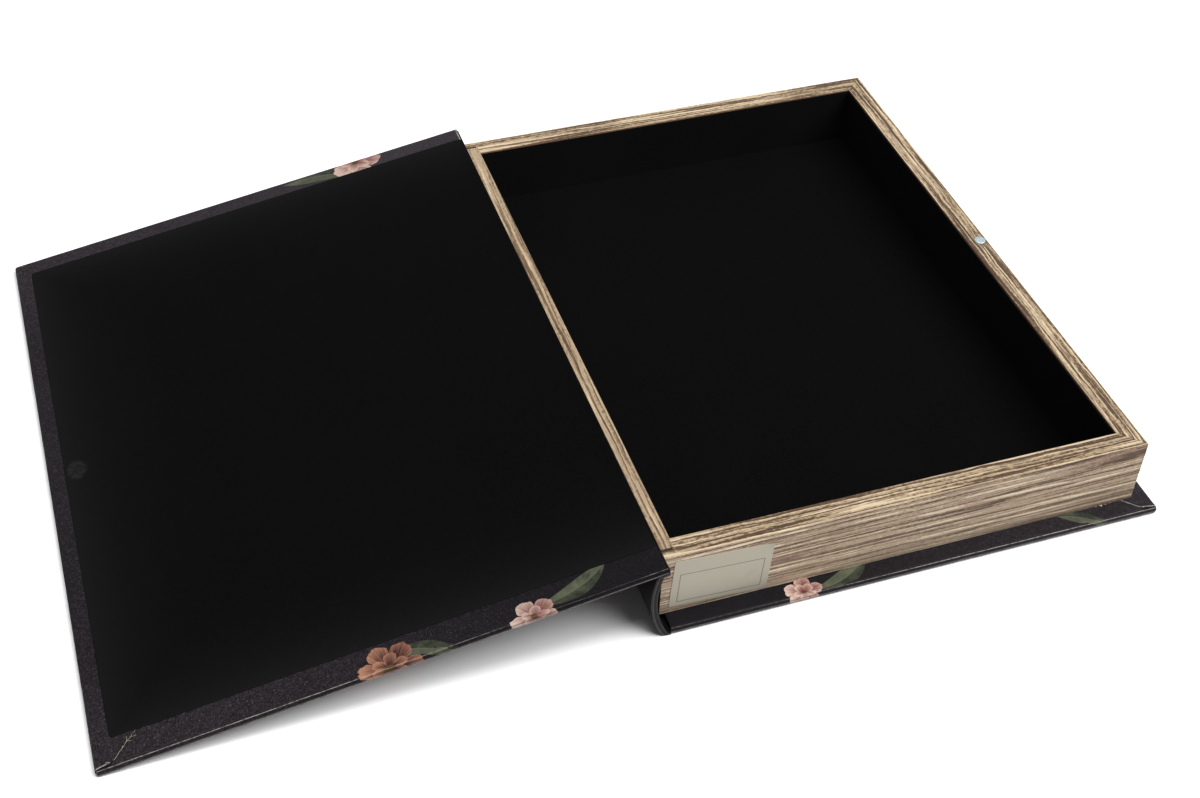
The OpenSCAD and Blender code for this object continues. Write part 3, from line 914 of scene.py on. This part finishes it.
def threadPiece(name, look, board):
    sides, points, faces = look["sides"], [], []
    for strand in look["strands"]:
        spots = [Vector((board["width"] - a, b - caseHalf, coverThick + high)) for a, b, high in strand]
        path = []
        for i in range(len(spots) - 1):
            before, after = spots[max(i - 1, 0)], spots[min(i + 2, len(spots) - 1)]
            for step in range(look["steps"]):
                t = step / look["steps"]
                # smooth curve through the spots
                path.append(0.5 * (2 * spots[i] + (spots[i + 1] - before) * t
                                   + (2 * before - 5 * spots[i] + 4 * spots[i + 1] - after) * t ** 2
                                   + (3 * spots[i] - before - 3 * spots[i + 1] + after) * t ** 3))
        path.append(spots[-1])
        faces += tube(sides, len(path), len(points))
        for i, spot in enumerate(path):
            way = (path[min(i + 1, len(path) - 1)] - path[max(i - 1, 0)]).normalized()
            across = way.cross(Vector((0, 0, 1))).normalized()
            up = across.cross(way)
            thick = look["radius"] * (1 - 0.6 * (i / (len(path) - 1)) ** 3)
            for step in range(sides):
                angle = 2 * math.pi * step / sides
                rim = spot + (across * math.cos(angle) + up * math.sin(angle)) * thick
                points.append(board["put"](*rim))
    return makePiece(name, points, faces)


finishPiece(threadPiece("frayed_corner_thread", frayed, frontLook), paleThread, "front_cover", "book_cloth")


# Spine, joints and hinge fold

spineLook = {
    "middle": (-69.1, 20.925), "outside": 44.5, "inside": 42.0, "foot": -26.3, "top": 16.0,
    "rounding": 0.95, "steps": 34, "sheetStart": 56.0, "stations": 30, "fromEnd": 3,
    # the pale line on the end arrises is partly rubbed and partly painted highlight; the end faces get
    # painted shade
    "wobble": 0.05, "arrisRubAndHighlight": 1.13, "endPaintedShade": -0.38,
    # outer line and inner line of the joint by the back board, then of the shoulder by the front cover
    "heel": [((-105.0, 0.0), (-105.0, 0.62)), ((-105.9, 0.0), (-105.7, 0.64)),
             ((-106.8, 0.02), (-106.0, 0.85)), ((-107.6, 0.08), (-106.15, 1.15)),
             ((-108.15, 0.26), (-106.3, 1.5)), ((-108.6, 0.62), (-106.5, 1.85))],
    "shoulder": [((-111.72, 33.62), (-109.42, 32.95)), ((-111.35, 33.98), (-109.36, 33.35)),
                 ((-110.75, 34.24), (-109.26, 33.66)), ((-109.95, 34.43), (-109.02, 33.86)),
                 ((-109.0, 34.61), (-108.6, 34.0)), ((-108.0, 34.78), (-107.85, 34.16)),
                 ((-107.5, 34.86), (-107.42, 34.28)), ((-107.18, 34.9), (-107.14, 34.46))],
}


def spineWrap(look):
    lines = list(look["heel"])
    for step in range(look["steps"] + 1):
        angle = math.radians(look["foot"] + (look["top"] - look["foot"]) * step / look["steps"])
        across, up = -math.cos(angle), math.sin(angle)
        lines.append([(look["middle"][0] + r * across, look["middle"][1] + r * up)
                      for r in (look["outside"], look["inside"])])
    lines += look["shoulder"]
    half, count = caseHalf, look["stations"]
    stations = [(half - look["fromEnd"]) * (1 - 2 * i / count) for i in range(count + 1)]
    points, sheet, wearAndPaintedLight = [], [], []
    run = 0
    for number, (outer, inner) in enumerate(lines):
        outer, inner = Vector(outer), Vector(inner)
        run += (outer - Vector(lines[max(number - 1, 0)][0])).length
        deep = (inner - outer).length
        across = (inner - outer) / deep
        bend = min(look["rounding"], deep / 2)
        soft = bend * (1 - math.sqrt(0.5))
        # section across the sheet, tail to head: place along Y, depth, unfolded place
        turned = [(half - bend, 0, half - bend), (half - soft, soft, half - bend * 0.2),
                  (half, bend, half + bend * 0.6), (half, deep - bend, half + deep - bend * 0.4),
                  (half - soft, deep - soft, half + deep * 0.9 + bend * 0.3),
                  (half - bend, deep, half + deep), (half - turnIn, deep, half + deep + turnIn)]
        lower, upper = deep - clothThick * 0.9, clothThick * 0.9
        back = [(half - turnIn, lower, half), (half - bend - 0.1, lower, half),
                (half - clothThick, deep * 0.5, half), (half - bend - 0.1, upper, half)]
        section = [(-y, d, -v) for y, d, v in reversed(turned)] + [(-y, 0, -y) for y in stations]
        section += turned + back + [(-y, d, -v) for y, d, v in reversed(back)]
        wobble = look["wobble"] * rough(run, 3, 11)
        for y, d, v in section:
            spot = outer + across * (d + wobble * (d == 0))
            points.append((spot.x, y, spot.y))
            sheet.append((look["sheetStart"] - run, v))
            # the end arrises take the pale line, partly painted highlight, and the end faces a little painted
            # shade
            onArris = abs(abs(y) - (half - soft)) < 0.001
            wearAndPaintedLight.append(look["arrisRubAndHighlight"] if onArris else look["endPaintedShade"] * (abs(y) == half))
    return makePiece("spine_cover_cloth", points, tube(len(section), len(lines)), sheet, wearAndPaintedLight)


finishPiece(spineWrap(spineLook), smoothCloth, "case", "joint_cloth", "back_joint_cloth", "spine_cloth")

foldLook = {
    # middle line of the cloth folded up at the turning axis: place from the axis and half thickness,
    # first where it leaves the spine's shoulder
    "caseSide": [(0.12, -2.05, 0.07), (0.14, -1.7, 0.1), (0.12, -1.1, 0.1), (0.07, -0.5, 0.1),
                 (0.03, -0.12, 0.1)],
    "loop": [(-0.03, 0.08, 0.1), (-0.1, 0.17, 0.1), (-0.19, 0.2, 0.1), (-0.29, 0.14, 0.1)],
    # beside the shut cover's hinge edge, round its outer corner
    "coverSide": [(0.4, 0.06, 0.1), (0.4, 0.45, 0.1), (0.48, 0.93, 0.09), (0.76, 1.36, 0.06),
                  (1.2, 1.66, 0.03)],
    "halfLength": 143.5, "steps": 36, "sheetStep": 0.3,
    # across this strip it turns from the case to the cover
    "band": (-0.09, -0.19),
}


def hingeFold(look):
    turn = Matrix.Rotation(-shutAngle, 3, "Y")
    line = look["caseSide"] + look["loop"]
    for x, z, t in look["coverSide"]:
        spot = turn @ Vector((x, 0, z))
        line.append((spot.x, spot.z, t))
    left, right = [], []
    for i, (x, z, t) in enumerate(line):
        before, after = line[max(i - 1, 0)], line[min(i + 1, len(line) - 1)]
        way = Vector((after[0] - before[0], after[1] - before[1])).normalized()
        left.append((x - way.y * t, z + way.x * t))
        right.append((x + way.y * t, z - way.x * t))
    section = left + right[::-1]
    points, sheet = [], []
    for step in range(look["steps"] + 1):
        y = look["halfLength"] * (2 * step / look["steps"] - 1)
        points += [(pivot.x + x, y, pivot.z + z) for x, z in section]
        sheet += [(i * look["sheetStep"], y) for i in range(len(section))]
    return makePiece("hinge_fold_cloth", points, tube(len(section), look["steps"] + 1), sheet)


foldPiece = finishPiece(hingeFold(foldLook), jointCloth, None, "joint_cloth", "hinge_cloth", "hinge_liner")
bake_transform(foldPiece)


# Lining inside the front cover

liningLook = {
    "tail": -132.0, "head": 135.0, "fore": frontWidth - 7.0, "corner": 1.6, "thick": 0.34, "dip": 0.24,
    # how far it draws in where it turns over the hinge edge, over what width, and from how near its ends
    "drawIn": 0.9, "drawWide": 3.2, "drawFrom": 118, "drawFade": 14,
    "edgeFade": 14, "wander": 0.14, "ripple": 0.03,
    # the hidden magnet's outline shows, and the pile is rubbed beside it where the tray's magnet meets it
    "magnet": (200.6, 0.0), "magnetRadius": 2.7, "magnetDip": 0.09,
    "rubAt": (199.9, 2.8), "rubHalf": (3.6, 5.2),
    # over the hinge edge: place across and height above the outer face
    "fold": [(-0.1, 2.0), (-0.2, 2.1), (-0.2, 2.9), (-0.17, 3.35), (-0.05, 3.6), (0.25, 3.72)],
}


def coverLining(look):
    tail, head, fore, put = look["tail"], look["head"], look["fore"], frontLook["put"]

    def stations(start, stop, special, beyond):
        # close together at both ends and about the magnet
        marks = {mark for near in (0, 0.12, 0.3, 0.6, 1.1, 1.8) for mark in (start + near, stop - near)}
        steps = int((stop - start) / 3.2)
        marks |= {start + (stop - start) * i / steps for i in range(1, steps)}
        marks |= {special + 0.45 * i for i in range(-9, beyond)}
        marks = sorted(m for m in marks if start <= m <= stop)
        return [m for i, m in enumerate(marks) if i == 0 or m - marks[i - 1] > 0.05]

    def rubbing(x, y):
        off = math.dist((x / look["rubHalf"][0], y / look["rubHalf"][1]),
                        (look["rubAt"][0] / look["rubHalf"][0], look["rubAt"][1] / look["rubHalf"][1])) - 0.8
        patch = (1 - ease(off / 0.45)) * (0.75 + 0.25 * math.exp(-(off / 0.25) ** 2))
        return patch * (1.3 + 1.5 * rough(x * 0.6, y, 1.1, 8))

    ys = stations(tail, head, look["magnet"][1], 20)
    columns = look["fold"] + [(x, None) for x in stations(0.7, fore, look["magnet"][0], 10)]
    top, low, wearAndPaintedLight = [], [], []
    for x, z in columns:
        folded = z is not None
        for y in ys:
            px, py, edge = x, y, min(y - tail, head - y)
            if not folded:
                px, py, edge = rounded(x, y, (-fore, tail), (fore, head), look["corner"])
            # the sheet's cut edge wanders a little
            wander = look["wander"] * rough(x, y, 3.2, 9) * max(0, 1 - edge / 0.8)
            if not folded and fore - x <= edge + 0.01:
                px += wander
            else:
                py += wander
            drawn = look["drawIn"] * max(0, 1 - (0 if folded else x) / look["drawWide"]) ** 2
            py -= math.copysign(drawn, y) * ease((abs(y) - look["drawFrom"]) / look["drawFade"])
            puff = math.sqrt(max(0, 1 - (1 - min(edge / 0.5, 1)) ** 2))
            if folded:
                top.append(put(px + 0.12 * (1 - puff), py, z))
                low.append(put(px + 0.17, py, min(z, coverThick - 0.02)))
                wearAndPaintedLight.append(0)
                continue
            inside = ease((fore + 7 - turnIn - px) / 3 + 0.5)
            inside *= ease((caseHalf - turnIn - abs(py)) / 3 + 0.5) * ease(px / 4)
            high = coverThick + 0.06 + look["thick"] * (0.3 + 0.7 * puff) - look["dip"] * inside
            high += look["ripple"] * rough(px, py, 17, 4.0) * puff
            ring = math.dist((px, py), look["magnet"]) - look["magnetRadius"]
            high -= look["magnetDip"] * math.exp(-(ring / 0.5) ** 2)
            top.append(put(px, py, high))
            low.append(put(px, py, high - 0.3 - 0.08 * puff))
            wearAndPaintedLight.append(math.exp(-max(edge, 0) / look["edgeFade"]) + rubbing(px, py))
    return makePiece("cover_lining_sheet", top + low, slab(len(columns), len(ys)),
                     wearAndPaintedLight=wearAndPaintedLight + [0] * len(low), sharpAbove=60)


finishPiece(coverLining(liningLook), coverVelvet, "front_cover", "black_lining", "front_lining")


# Page edges round the tray

pageLook = {
    # a row of relief for each few sheets, its height by chance
    "row": 1.15, "rowLeast": 0.6, "rowMore": 0.8, "relief": 0.1, "step": 5.0,
    # shallow slot where the spine strip's end lies on the tail and head strips, painted dark as shade
    "slotLong": 5.4, "slotFrom": 3.7, "slotTo": 4.95, "slotDeep": 0.22,
}


def pageSheet(wall):
    look, seed = pageLook, wall["seed"]
    dice = random.Random(seed)
    wide, start, stop, raised = wall["wide"], wall["start"], wall["stop"], wall["raised"]
    foot, rim = tray["foot"] + 0.05, tray["rim"] + raised
    # rows of the strip's section: inset, level, unfolded place, and whether it shows
    rows = []
    level = foot
    while level < rim - 0.6:
        rows.append((dice.random() * look["relief"], level, level - foot, True))
        level += look["row"] * (look["rowLeast"] + look["rowMore"] * dice.random())
    tall = rim - foot
    rows += [(0.03, rim - 0.3, tall - 0.3, True), (0.12, rim - 0.1, tall - 0.12, True),
             (0.32, rim, tall + 0.1, True)]
    inset = 0.8
    while inset < wide - 0.5:
        rows.append((inset, rim - dice.random() * look["relief"], tall - 0.2 + inset, True))
        inset += 0.85 * look["row"] * (look["rowLeast"] + look["rowMore"] * dice.random())
    rows += [(wide - 0.2, rim - 0.03, tall + wide - 0.4, True), (wide, rim - 0.16, tall + wide, True),
             (wide, rim - raised - 0.31, tall + wide, False), (0.3, rim - raised - 0.31, tall, False),
             (0.3, foot, 0, False)]
    steps = max(2, round((stop - start) / look["step"]))
    stations = [start + (stop - start) * i / steps for i in range(steps + 1)]
    if wall["slot"]:
        stations += [start + look["slotLong"] - 0.2, start + look["slotLong"] + 0.1]
        stations.sort()
    first, last = wall["mitres"]
    points, sheet, marks = [], [], []
    for number, station in enumerate(stations):
        mitred = number == 0 and first or number == len(stations) - 1 and last
        inSlot = wall["slot"] and station < start + look["slotLong"]
        for row, (inset, level, v, seen) in enumerate(rows):
            low, high = start + inset * first, stop - inset * last
            u = low + (high - low) * (station - start) / (stop - start)
            onTop = level > rim - 0.4
            dark = 0
            sway = 0.35 * look["relief"] * rough(u, row * 40, 26, seed)
            if seen and not onTop:
                inset += sway
                level += 0.12 * rough(u, 0, 6, seed) * (row == 0)
            elif seen and inset < 0.5:
                # the folded rim isn't quite straight
                inset += 0.09 + 0.09 * rough(u, 5, 7, seed)
            elif seen and inset < wide - 0.1:
                level += sway - 0.1 * mitred
                # the slot is sunk, and marked to be painted dark as shade
                if inSlot and look["slotFrom"] < inset < look["slotTo"]:
                    level -= look["slotDeep"]
                    dark = 1
            points.append(wall["put"](u, inset, level))
            sheet.append((wall["unroll"](u), v))
            marks.append(dark)
    return makePiece(wall["name"], points, tube(len(rows), len(stations)), sheet, marks, sharpAbove=75)


# The printed lines run on round the corners, so one wall's sheet is unrolled after the other
pageWalls = [
    {"name": "tail_page_edges", "node": "tail_paper", "wide": tray["wall"], "start": tray["x0"],
     "stop": tray["x1"], "mitres": (False, True), "raised": 0, "slot": True, "seed": 21,
     "put": lambda u, i, z: (u, -halfTray + i, z), "unroll": lambda u: u},
    {"name": "fore_page_edges", "node": "fore_edge_paper", "wide": tray["wall"], "start": -halfTray,
     "stop": halfTray, "mitres": (True, True), "raised": 0, "slot": False, "seed": 23,
     "put": lambda u, i, z: (tray["x1"] - i, u, z), "unroll": lambda u: tray["x1"] + halfTray + u},
    {"name": "head_page_edges", "node": "head_paper", "wide": tray["wall"], "start": tray["x0"],
     "stop": tray["x1"], "mitres": (False, True), "raised": 0, "slot": True, "seed": 22,
     "put": lambda u, i, z: (u, halfTray - i, z), "unroll": lambda u: 2 * (tray["x1"] + halfTray) - u},
    {"name": "spine_page_edges", "node": "spine_side_paper", "wide": tray["spineWall"], "start": -131.2,
     "stop": 131.2, "mitres": (False, False), "raised": 0.08, "slot": False, "seed": 24,
     "put": lambda u, i, z: (tray["x0"] + i, u, z), "unroll": lambda u: 900 + u},
]
for wall in pageWalls:
    finishPiece(pageSheet(wall), pagePaper, "case", "page_edge_paper", wall["node"])

# Scraps of torn paper at the foot of the tail wall: place along it, size, turn, and height of the far tip
scrapLook = {
    "outline": [(0, 0), (0.55, -0.18), (1, 0.1), (0.72, 0.42), (0.3, 0.3)], "thick": 0.09, "sheetPlace": 31,
    "scraps": [(82.4, 0.8, 0.4, 0.25), (83.6, 1.0, 2.2, 0.1), (84.9, 0.8, 1.2, 0.5), (86.0, 1.05, 2.9, 0.3),
               (86.9, 0.7, 0.2, 0.6), (80.9, 0.6, 1.8, 0.1)],
}


def paperScraps(look):
    points, faces, sheet = [], [], []
    for x, size, turn, tip in look["scraps"]:
        faces += tube(len(look["outline"]), 2, len(points))
        for layer in (0, look["thick"]):
            for a, b in look["outline"]:
                across = size * (a * math.cos(turn) - b * math.sin(turn))
                out = abs(size * (a * math.sin(turn) + b * math.cos(turn)))
                points.append((x + across, -halfTray + 0.05 - out, tray["foot"] + 0.03 + layer + tip * a))
                sheet.append((x, look["sheetPlace"]))
    return makePiece("torn_paper_scraps", points, faces, sheet)


finishPiece(paperScraps(scrapLook), pagePaper, "case", "page_edge_paper")


# Magnet and label

def lathe(name, profile, middle, steps=40):
    points = []
    for radius, height in profile:
        for step in range(steps):
            angle = 2 * math.pi * step / steps
            x, y = radius * math.cos(angle), radius * math.sin(angle)
            points.append((middle[0] + x, middle[1] + y, height))
    return makePiece(name, points, tube(steps, len(profile)))


magnetLow, magnetHigh = edges("tray_magnet")
magnetMiddle = ((magnetLow.x + magnetHigh.x) / 2, 0.0)
magnetLook = {
    # radius and height over the node's top, from the bevel to the dished middle
    "top": [(2.47, -0.1), (2.4, 0.04), (2.25, 0.12), (1.2, 0.1)], "foot": 2.44,
    "hole": [(2.62, 33.0), (2.62, 36.0)],
}
profile = [(magnetLook["foot"], magnetLow.z)]
profile += [(radius, magnetHigh.z + over) for radius, over in magnetLook["top"]]
finishPiece(lathe("catch_magnet", profile, magnetMiddle), nickelPlate, "case", "nickel", "tray_magnet")

# round hole for it in the page-edge paper
cutter = lathe("holeCutter", magnetLook["hole"], magnetMiddle)
forePages = bpy.data.objects["fore_page_edges"]
hole = forePages.modifiers.new("hole", "BOOLEAN")
hole.operation = "DIFFERENCE"
hole.object = cutter
hole.solver = "EXACT"
bpy.context.view_layer.objects.active = forePages
bpy.ops.object.modifier_apply(modifier=hole.name)
bpy.data.objects.remove(cutter)

labelLook = {
    "wide": 40.0, "tall": 25.0, "middle": (-82.9, 17.8), "turn": 3.1, "thick": 0.16, "corner": 0.5,
    # one corner has come away from the wall: how far, and from where along the sum of place across and up
    "lifted": 0.5, "liftFrom": 24.0, "liftFade": 6,
}


def stickyLabel(look):
    high = (look["wide"] / 2, look["tall"] / 2)
    low = (-high[0], -high[1])

    def stations(half, count):
        near = [0, 0.05, 0.15, 0.3, 0.5, 1.3]
        middle = [(half - near[-1]) * (2 * i / count - 1) for i in range(1, count)]
        return [n - half for n in near] + middle + [half - n for n in reversed(near)]

    xs, zs = stations(high[0], 14), stations(high[1], 9)
    turn = math.radians(look["turn"])
    points, sheet = [], []
    for thick in (0, look["thick"]):
        for x in xs:
            for z in zs:
                px, pz = rounded(x, z, low, high, look["corner"])[:2]
                lift = 0.02 + 0.02 * rough(px, pz, 7, 3) ** 2
                lift += look["lifted"] * ease((px * 0.8 + pz - look["liftFrom"]) / look["liftFade"])
                points.append((look["middle"][0] + px * math.cos(turn) + pz * math.sin(turn),
                               -halfTray - lift - thick,
                               look["middle"][1] - px * math.sin(turn) + pz * math.cos(turn)))
                sheet.append((px, pz))
    return makePiece("blank_label", points, slab(len(xs), len(zs)), sheet)


finishPiece(stickyLabel(labelLook), labelPaper, "case", "label_paper", "label")


# Nodes that keep their own shape

nodePaint = {
    "back_board": greyBoard, "front_board": greyBoard, "spine_board": greyBoard,
    "tray_base": woodFibre, "tail_wall": woodFibre, "head_wall": woodFibre,
    "fore_edge_wall": woodFibre, "spine_side_wall": woodFibre,
    "floor_lining": velvetBlack, "tail_lining": wallVelvetPaintedLighter, "head_lining": wallVelvetPaintedLighter,
    "fore_edge_lining": wallVelvetPaintedLighter, "spine_side_lining": wallVelvetPaintedLighter,
    "spine_liner": linerBlack, "cover_magnet": nickelPlate,
}
for node, material in nodePaint.items():
    slots = frame["nodes"][node].data.materials
    slots.clear()
    slots.append(material)
print("kept nodes painted")


# Floor, light and camera

studio = {
    # the floor is a little whiter to the camera than to the object, so only real shadow shows on it
    "floor": colour(238, 238, 238), "floorSeen": 1.25, "floorReach": 6.0, "worldStrength": 0.11,
    "key": 2.36, "keyFrom": (0.66, -0.45, 1.17), "keySize": 43,
    "top": 1.15, "topFrom": (0.0, -0.15, 1.0), "topSize": 20,
}
view = {"eye": (-0.28014, -0.53062, 0.51824), "turn": (46.7284, -1.6354, -18.7664), "lens": 53.05}


def cameraSees(paint):
    # 1 for what the camera sees, straight or in a shiny surface or through glass
    straight = paint.node("LightPath", {}, "Is Camera Ray")
    return straight.larger(straight.other("Is Glossy Ray")).larger(straight.other("Is Transmission Ray"))


def makeFloor():
    mesh = bpy.data.meshes.new("tableTop")
    reach, seen = studio["floorReach"], studio["floorSeen"]
    mesh.from_pydata([(-reach, -reach, 0), (reach, -reach, 0), (reach, reach, 0), (-reach, reach, 0)], [],
                     [(0, 1, 2, 3)])
    paint = newPaint("tableWhite")
    shade = paint.blend(cameraSees(paint), studio["floor"], (seen, seen, seen, 1))
    for key, value in {"Base Color": shade, "Roughness": 0.9, "Specular IOR Level": 0.0}.items():
        paint.feed(paint.tree.nodes["Principled BSDF"].inputs[key], value)
    mesh.materials.append(paint.owner)
    putInScene("tableTop", mesh)


def makeSun(name, strength, size, source):
    lamp = bpy.data.lights.new(name, "SUN")
    lamp.energy = strength
    lamp.angle = math.radians(size)
    putInScene(name, lamp).rotation_euler = Vector(source).to_track_quat("Z", "Y").to_euler()


def makeSky():
    paint = Paint(bpy.data.worlds.new("studioWorld"))
    bpy.context.scene.world = paint.owner
    background = paint.tree.nodes["Background"].inputs
    background["Color"].default_value = (1, 1, 1, 1)
    strength = paint.node("MapRange", {"Value": cameraSees(paint), "To Min": studio["worldStrength"]})
    paint.feed(background["Strength"], strength)


makeFloor()
makeSky()
makeSun("keySoftbox", studio["key"], studio["keySize"], studio["keyFrom"])
makeSun("topSoftbox", studio["top"], studio["topSize"], studio["topFrom"])

camera = bpy.data.cameras.new("photoCamera")
camera.lens = view["lens"]
camera.sensor_width = 36
camera.clip_start = 0.01
holder = putInScene("photoCamera", camera)
holder.location = view["eye"]
holder.rotation_euler = [math.radians(angle) for angle in view["turn"]]
bpy.context.scene.camera = holder
bpy.context.scene.view_settings.view_transform = "Standard"
print("stage and camera made")
